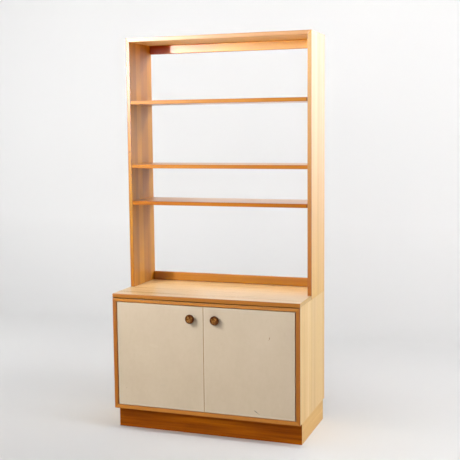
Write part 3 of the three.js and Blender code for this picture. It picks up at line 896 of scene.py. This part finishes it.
def paint(name, node, side, seed):
    """Old brushed paint: clouded, paler on the lips, sunk over their joints and worn at the edges."""
    n = Nodes(name)
    place = n.place()
    parts = n.split(place)
    low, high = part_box(node)
    to_side = to_ends(n, parts[0], low.x, high.x)
    to_end = to_ends(n, parts[2], low.z, high.z)
    to_edge = n.math("MINIMUM", to_side, to_end)
    cloud = n.noise(n.stretched(place, CLOUDS, (seed, seed, seed)), detail=3, roughness=0.55)
    mottle = n.noise(n.stretched(place, MOTTLE, (seed, 0, seed)), detail=4, roughness=0.6)
    brush = n.noise(n.stretched(place, BRUSH_MARKS, (seed, 0, 0)), detail=3, roughness=0.6)
    peel = n.noise(place, scale=PEEL, detail=2)
    value = n.math("ADD", n.math("MULTIPLY", cloud, 0.65), n.math("MULTIPLY", mottle, 0.35))
    colour = n.ramp(value, ((0.32, PAINT_DULL), (0.5, PAINT), (0.7, PAINT_PALE)))
    lip = n.math("LESS_THAN", to_edge, LIPPING)
    colour = n.mix(n.math("MULTIPLY", lip, 0.6), colour, (*PAINT_LIP, 1))
    seam = lip_joints(n, to_side, to_end)
    seam_dirt = n.math("MULTIPLY", seam, n.remap(mottle, 0.3, 0.6, 0.35, 0.85))
    colour = n.mix(seam_dirt, colour, (*SEAM_TONE, 1))
    at_edge = n.math("LESS_THAN", to_edge, WORN_EDGE)
    wear_and_shade = n.math("MULTIPLY", at_edge, n.remap(mottle, 0.42, 0.62, 0.0, 0.7))
    colour = n.mix(wear_and_shade, colour, (*WORN_TONE, 1))
    n.feed(n.shader, "Base Color", marked(n, colour, parts, DOOR_MARKS[side]))
    n.feed(n.shader, "Roughness", n.spread(mottle, 0.38, 0.48))
    height = n.math("ADD", n.math("MULTIPLY", peel, 0.4), n.math("MULTIPLY", brush, 0.35))
    n.bump(n.math("SUBTRACT", height, seam), PAINT_RELIEF, 0.5)
    return n.material


def add_doors():
    for seed, side in enumerate(("left", "right"), start=31):
        node = "door_" + side
        piece = eased_copy(node, node + "_panel", DOOR_ARRIS)
        piece.data.materials.append(paint(node + "_paint", node, side, seed))
        piece.data.materials.append(wood(node + "_edge_wood", "door_edge", "Z", seed, LEAN))
        second_material_on_edges(piece, Y_AXIS)
        finish_piece(piece, node)


add_doors()


# Knobs: turned wood with a raised rim and a dished face
KNOB_STEPS = 72
KNOB_FOOT = 0.8 * MM
KNOB_FOOT_SHARE = 0.56
KNOB_COVE = 5 * MM
KNOB_NECK_SHARE = 0.45
KNOB_BAND = 4 * MM
KNOB_RIM = 4.5 * MM
KNOB_DISH = 2 * MM
KNOB_RIPPLE = 0.12 * MM
KNOB_RIPPLE_TURN = 20
COVE_STEPS, FLARE_STEPS, RIM_STEPS, FACE_STEPS = 8, 10, 8, 12
FLARE_POWER = 1.7

# Knob wood: where its rim starts to darken and is darkest, and repeats of its layers per metre
KNOB_PALE_RADIUS = 7 * MM
KNOB_DARK_RADIUS = 17 * MM
KNOB_IOR = 1.13
KNOB_RELIEF = 0.08 * MM
KNOB_STREAKS = (150, 420, 150)
KNOB_CLOUDS = (120, 120, 120)
KNOB_RINGS = 1100
KNOB_TONES = ((0.070, 0.015, 0.001), (0.215, 0.078, 0.010), (0.56, 0.29, 0.08))


def turned(name, profile, steps):
    """A solid turned about its own Z axis, from (radius, height) points that start and end on it."""
    bm = bmesh.new()
    rings = []
    for radius, height in profile:
        if radius < MERGE:
            rings.append([bm.verts.new((0, 0, height))])
            continue
        ring = []
        for i in range(steps):
            angle = 2 * math.pi * i / steps
            ring.append(bm.verts.new((radius * math.cos(angle), radius * math.sin(angle), height)))
        rings.append(ring)
    for low, high in zip(rings, rings[1:]):
        for i in range(steps):
            j = (i + 1) % steps
            corners = [low[i % len(low)], low[j % len(low)], high[j % len(high)], high[i % len(high)]]
            bm.faces.new(list(dict.fromkeys(corners)))
    bmesh.ops.recalc_face_normals(bm, faces=bm.faces)
    mesh = bpy.data.meshes.new(name)
    bm.to_mesh(mesh)
    bm.free()
    mesh.shade_smooth()
    piece = bpy.data.objects.new(name, mesh)
    bpy.context.scene.collection.objects.link(piece)
    return piece


def knob_profile(radius, height):
    """Foot, cove, flare, band, round rim and dished face, as (radius, height) points."""
    neck = radius * KNOB_NECK_SHARE
    foot = radius * KNOB_FOOT_SHARE
    points = [(0, 0), (foot, 0), (foot, KNOB_FOOT)]
    for i in range(1, COVE_STEPS + 1):
        share = i / COVE_STEPS
        points.append((neck + (foot - neck) * (1 - share) ** 2, KNOB_FOOT + share * KNOB_COVE))
    flare_low, flare_high = KNOB_FOOT + KNOB_COVE, height - KNOB_RIM - KNOB_BAND
    for i in range(1, FLARE_STEPS + 1):
        share = i / FLARE_STEPS
        rise = (flare_high - flare_low) * share
        points.append((neck + (radius - neck) * share**FLARE_POWER, flare_low + rise))
    face = radius - KNOB_RIM
    for i in range(RIM_STEPS + 1):
        angle = math.pi / 2 * i / RIM_STEPS
        points.append((face + KNOB_RIM * math.cos(angle), height - KNOB_RIM + KNOB_RIM * math.sin(angle)))
    for i in range(1, FACE_STEPS + 1):
        share = 1 - i / FACE_STEPS
        ripple = KNOB_RIPPLE * math.sin(share * KNOB_RIPPLE_TURN)
        points.append((face * share, height - KNOB_DISH * (1 - share**2) - ripple))
    return points


def knob_wood(name, seed):
    """End grain: a pale, flecked middle that darkens towards its rim."""
    n = Nodes(name)
    place = n.place()
    x, y, z = n.split(place)[:3]
    radius = n.math("SQRT", n.math("ADD", n.math("MULTIPLY", x, x), n.math("MULTIPLY", y, y)))
    streak = n.noise(n.stretched(place, KNOB_STREAKS, (seed, seed, 0)), detail=4, roughness=0.65)
    cloud = n.noise(n.stretched(place, KNOB_CLOUDS, (seed, 0, 0)), detail=2)
    rings = n.noise(n.combine(n.math("MULTIPLY", radius, KNOB_RINGS), z, seed), detail=1)
    value = n.math("ADD", n.math("MULTIPLY", streak, 0.4), n.math("MULTIPLY", cloud, 0.45))
    value = n.math("ADD", value, n.math("MULTIPLY", rings, 0.15))
    dark, middle, pale = KNOB_TONES
    colour = n.ramp(value, ((0.42, dark), (0.5, middle), (0.60, pale)))
    rim = n.remap(radius, KNOB_PALE_RADIUS, KNOB_DARK_RADIUS, 0.0, 0.85)
    colour = n.mix(rim, colour, (*dark, 1))
    n.feed(n.shader, "Base Color", colour)
    n.feed(n.shader, "Roughness", n.spread(streak, 0.5, 0.4))
    n.shader.inputs["IOR"].default_value = KNOB_IOR
    n.bump(rings, KNOB_RELIEF, 0.6)
    return n.material


def add_knobs():
    for seed, side in enumerate(("left", "right"), start=41):
        node = "knob_" + side
        low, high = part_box(node)
        radius = (high.x - low.x) / 2
        piece = turned(node + "_turned", knob_profile(radius, high.y - low.y), KNOB_STEPS)
        piece.data.materials.append(knob_wood(node + "_wood", seed))
        centre = ((low.x + high.x) / 2, high.y, (low.z + high.z) / 2)
        piece.matrix_world = Matrix.Translation(centre) @ Matrix.Rotation(math.pi / 2, 4, "X")
        finish_piece(piece, node)


add_knobs()


# Screw heads: low slotted domes on the hinge leaves and behind the knobs
SCREW_INSET = 7 * MM
SCREW_SPACING = 14 * MM
HINGE_HEAD_RADIUS = 3.0 * MM
HEAD_RISE = 0.45 * MM
HEAD_STEPS = 32
SLOT_HALF_WIDTH = 0.45 * MM
SLANT_STEP = 1.1
BRASS = (0.52, 0.37, 0.14)
STEEL = (0.42, 0.42, 0.41)
BRASS_ROUGHNESS = 0.34
STEEL_ROUGHNESS = 0.38

# Hinge leaves but for their side: name, the node in whose face it lies flush, and whether that looks up
HINGE_LEAVES = (
    ("door_leaf_top_", "door_{side}", True),
    ("door_leaf_bottom_", "door_{side}", False),
    ("carcass_leaf_top_", "carcass_top", False),
    ("carcass_leaf_bottom_", "carcass_bottom", True),
)


def add_head(name, node, radius, place, turn, material):
    profile = [
        (0, 0),
        (radius, 0),
        (radius * 0.97, HEAD_RISE * 0.5),
        (radius * 0.7, HEAD_RISE * 0.9),
        (0, HEAD_RISE),
    ]
    piece = turned(name, profile, HEAD_STEPS)
    piece.data.materials.append(material)
    piece.matrix_world = Matrix.Translation(place) @ turn
    finish_piece(piece, node, hides=False)


def add_hinge_heads(leaf, host, upward, brass):
    """The two heads on a hinge leaf, set from the leaf's inner end, each with its slot at its own slant."""
    low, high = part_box(leaf)
    outward = 1 if low.x > 0 else -1
    inner = min(low.x, high.x, key=abs)
    host_low, host_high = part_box(host)
    level = host_high.z if upward else host_low.z
    flip = Matrix.Rotation(0 if upward else math.pi, 4, "X")
    for number in (1, 2):
        reach = SCREW_INSET + (number - 1) * SCREW_SPACING
        place = (inner + outward * reach, (low.y + high.y) / 2, level)
        slant = Matrix.Rotation(number * SLANT_STEP + level / MM, 4, "Z")
        add_head(f"{leaf}_head_{number}", leaf, HINGE_HEAD_RADIUS, place, flip @ slant, brass)


def add_knob_head(screw, steel):
    low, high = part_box(screw)
    place = ((low.x + high.x) / 2, high.y, (low.z + high.z) / 2)
    away = Matrix.Rotation(-math.pi / 2, 4, "X")
    add_head(screw + "_head", screw, (high.x - low.x) / 2, place, away, steel)


def add_screw_heads():
    brass = metal("slotted_brass", BRASS, BRASS_ROUGHNESS, False, SLOT_HALF_WIDTH)
    steel = metal("slotted_steel", STEEL, STEEL_ROUGHNESS, False, SLOT_HALF_WIDTH)
    for side in ("left", "right"):
        for leaf, host, upward in HINGE_LEAVES:
            add_hinge_heads(leaf + side, host.format(side=side), upward, brass)
        add_knob_head("knob_screw_" + side, steel)


add_screw_heads()


# Fittings keep their own shape and get metal, plastic or bare wood
CATCH_BROWN = (0.10, 0.06, 0.04)
DOWEL_SEED = 61


def dress_fittings():
    finishes = {
        "steel": metal("fitting_steel", STEEL, STEEL_ROUGHNESS, True),
        "brass": metal("fitting_brass", BRASS, BRASS_ROUGHNESS, False),
        "catch_plastic": plastic("catch_brown", CATCH_BROWN),
        "bare_wood": wood("dowel_wood", "bare", "X", DOWEL_SEED, BARE),
    }
    for node, piece in frame["nodes"].items():
        if not piece.hide_render:
            piece.data.materials.clear()
            piece.data.materials.append(finishes[slot_of_node[node]])


dress_fittings()
